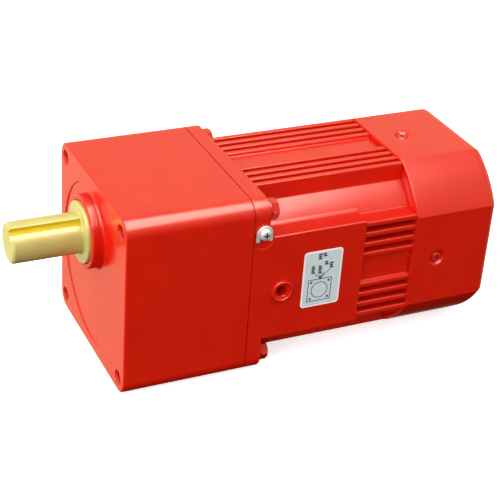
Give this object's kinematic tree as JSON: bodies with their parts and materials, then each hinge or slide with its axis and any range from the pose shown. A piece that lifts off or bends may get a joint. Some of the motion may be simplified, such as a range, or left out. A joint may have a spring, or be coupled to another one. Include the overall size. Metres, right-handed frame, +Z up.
{
  "type": "gearmotor",
  "caption": "Square gear head with an offset keyed output shaft on a finned, fan-cooled induction motor with a rear fan cover, wiring label and earth terminal.",
  "frame": {"origin": "middle of the gear head's square underside, 35 mm behind its mounting face and 52 mm below the motor axis", "axes": "+X from the output shaft to the fan cover along the motor axis, -X out of the mounting face, +Z up through the offset output shaft, -Y out of the side with the wiring label"},
  "size_m": [0.2666, 0.1074, 0.104],
  "materials": {
    "red_paint": "gloss",
    "oiled_shaft_steel": "satin",
    "gear_steel": "satin",
    "bearing_steel": "polished",
    "plain_steel": "satin",
    "electrical_steel": "matte",
    "cast_aluminium": "satin",
    "copper_winding": "gloss",
    "seal_rubber": "matte",
    "fan_plastic": "matte",
    "zinc_plate": "satin",
    "label_film": "satin"
  },
  "bodies": {
    "stationary_body": {"gearbox_housing": "red_paint", "motor_frame": "red_paint", "fan_cover": "red_paint", "cover_screw_1": "red_paint", "cover_screw_2": "red_paint", "cover_screw_3": "red_paint", "cover_screw_4": "red_paint", "flange_bolt_1": "red_paint", "flange_bolt_2": "red_paint", "flange_bolt_3": "red_paint", "flange_bolt_4": "red_paint", "flange_washer_1": "red_paint", "flange_washer_2": "red_paint", "flange_washer_3": "red_paint", "flange_washer_4": "red_paint", "cable_grommet": "red_paint", "rear_end_shield": "red_paint", "output_bearing_front": "bearing_steel", "output_bearing_rear": "bearing_steel", "first_shaft_bush": "bearing_steel", "first_shaft_bearing": "bearing_steel", "second_shaft_bush": "bearing_steel", "second_shaft_bearing": "bearing_steel", "rotor_bearing_front": "bearing_steel", "rotor_bearing_rear": "bearing_steel", "bearing_wave_washer": "plain_steel", "end_shield_screw_1": "plain_steel", "end_shield_screw_2": "plain_steel", "end_shield_screw_3": "plain_steel", "end_shield_screw_4": "plain_steel", "stator_core": "electrical_steel", "gearbox_bearing_plate": "cast_aluminium", "stator_winding": "copper_winding", "output_oil_seal": "seal_rubber", "motor_oil_seal": "seal_rubber", "ground_lug": "zinc_plate", "ground_screw": "zinc_plate", "wiring_label": "label_film"},
    "rotor": {"rotor_shaft": "plain_steel", "rotor_core": "electrical_steel", "rotor_cage": "cast_aluminium", "cooling_fan": "fan_plastic", "fan_clip": "plain_steel"},
    "first_countershaft": {"first_pinion_shaft": "gear_steel", "first_gear": "gear_steel"},
    "second_countershaft": {"second_pinion_shaft": "gear_steel", "second_gear": "gear_steel"},
    "output": {"output_shaft": "oiled_shaft_steel", "output_gear": "gear_steel", "gear_key": "plain_steel", "gear_retaining_ring": "plain_steel"}
  },
  "joints": [
    {"name": "rotor_spin", "type": "hinge", "parent": "stationary_body", "child": "rotor", "pos_m": [0, 0, 0.052], "axis": [1, 0, 0], "continuous": true},
    {"name": "first_countershaft_spin", "type": "hinge", "parent": "stationary_body", "child": "first_countershaft", "pos_m": [0, 0.01732, 0.03468], "axis": [1, 0, 0], "continuous": true},
    {"name": "second_countershaft_spin", "type": "hinge", "parent": "stationary_body", "child": "second_countershaft", "pos_m": [0, 0.02366, 0.0595], "axis": [1, 0, 0], "continuous": true},
    {"name": "output_spin", "type": "hinge", "parent": "stationary_body", "child": "output", "pos_m": [0, 0, 0.074], "axis": [1, 0, 0], "continuous": true}
  ],
  "couplings": [
    {"joint": "first_countershaft_spin", "follows": "rotor_spin", "ratio": -0.28947},
    {"joint": "second_countershaft_spin", "follows": "rotor_spin", "ratio": 0.10614},
    {"joint": "output_spin", "follows": "rotor_spin", "ratio": -0.044906}
  ]
}
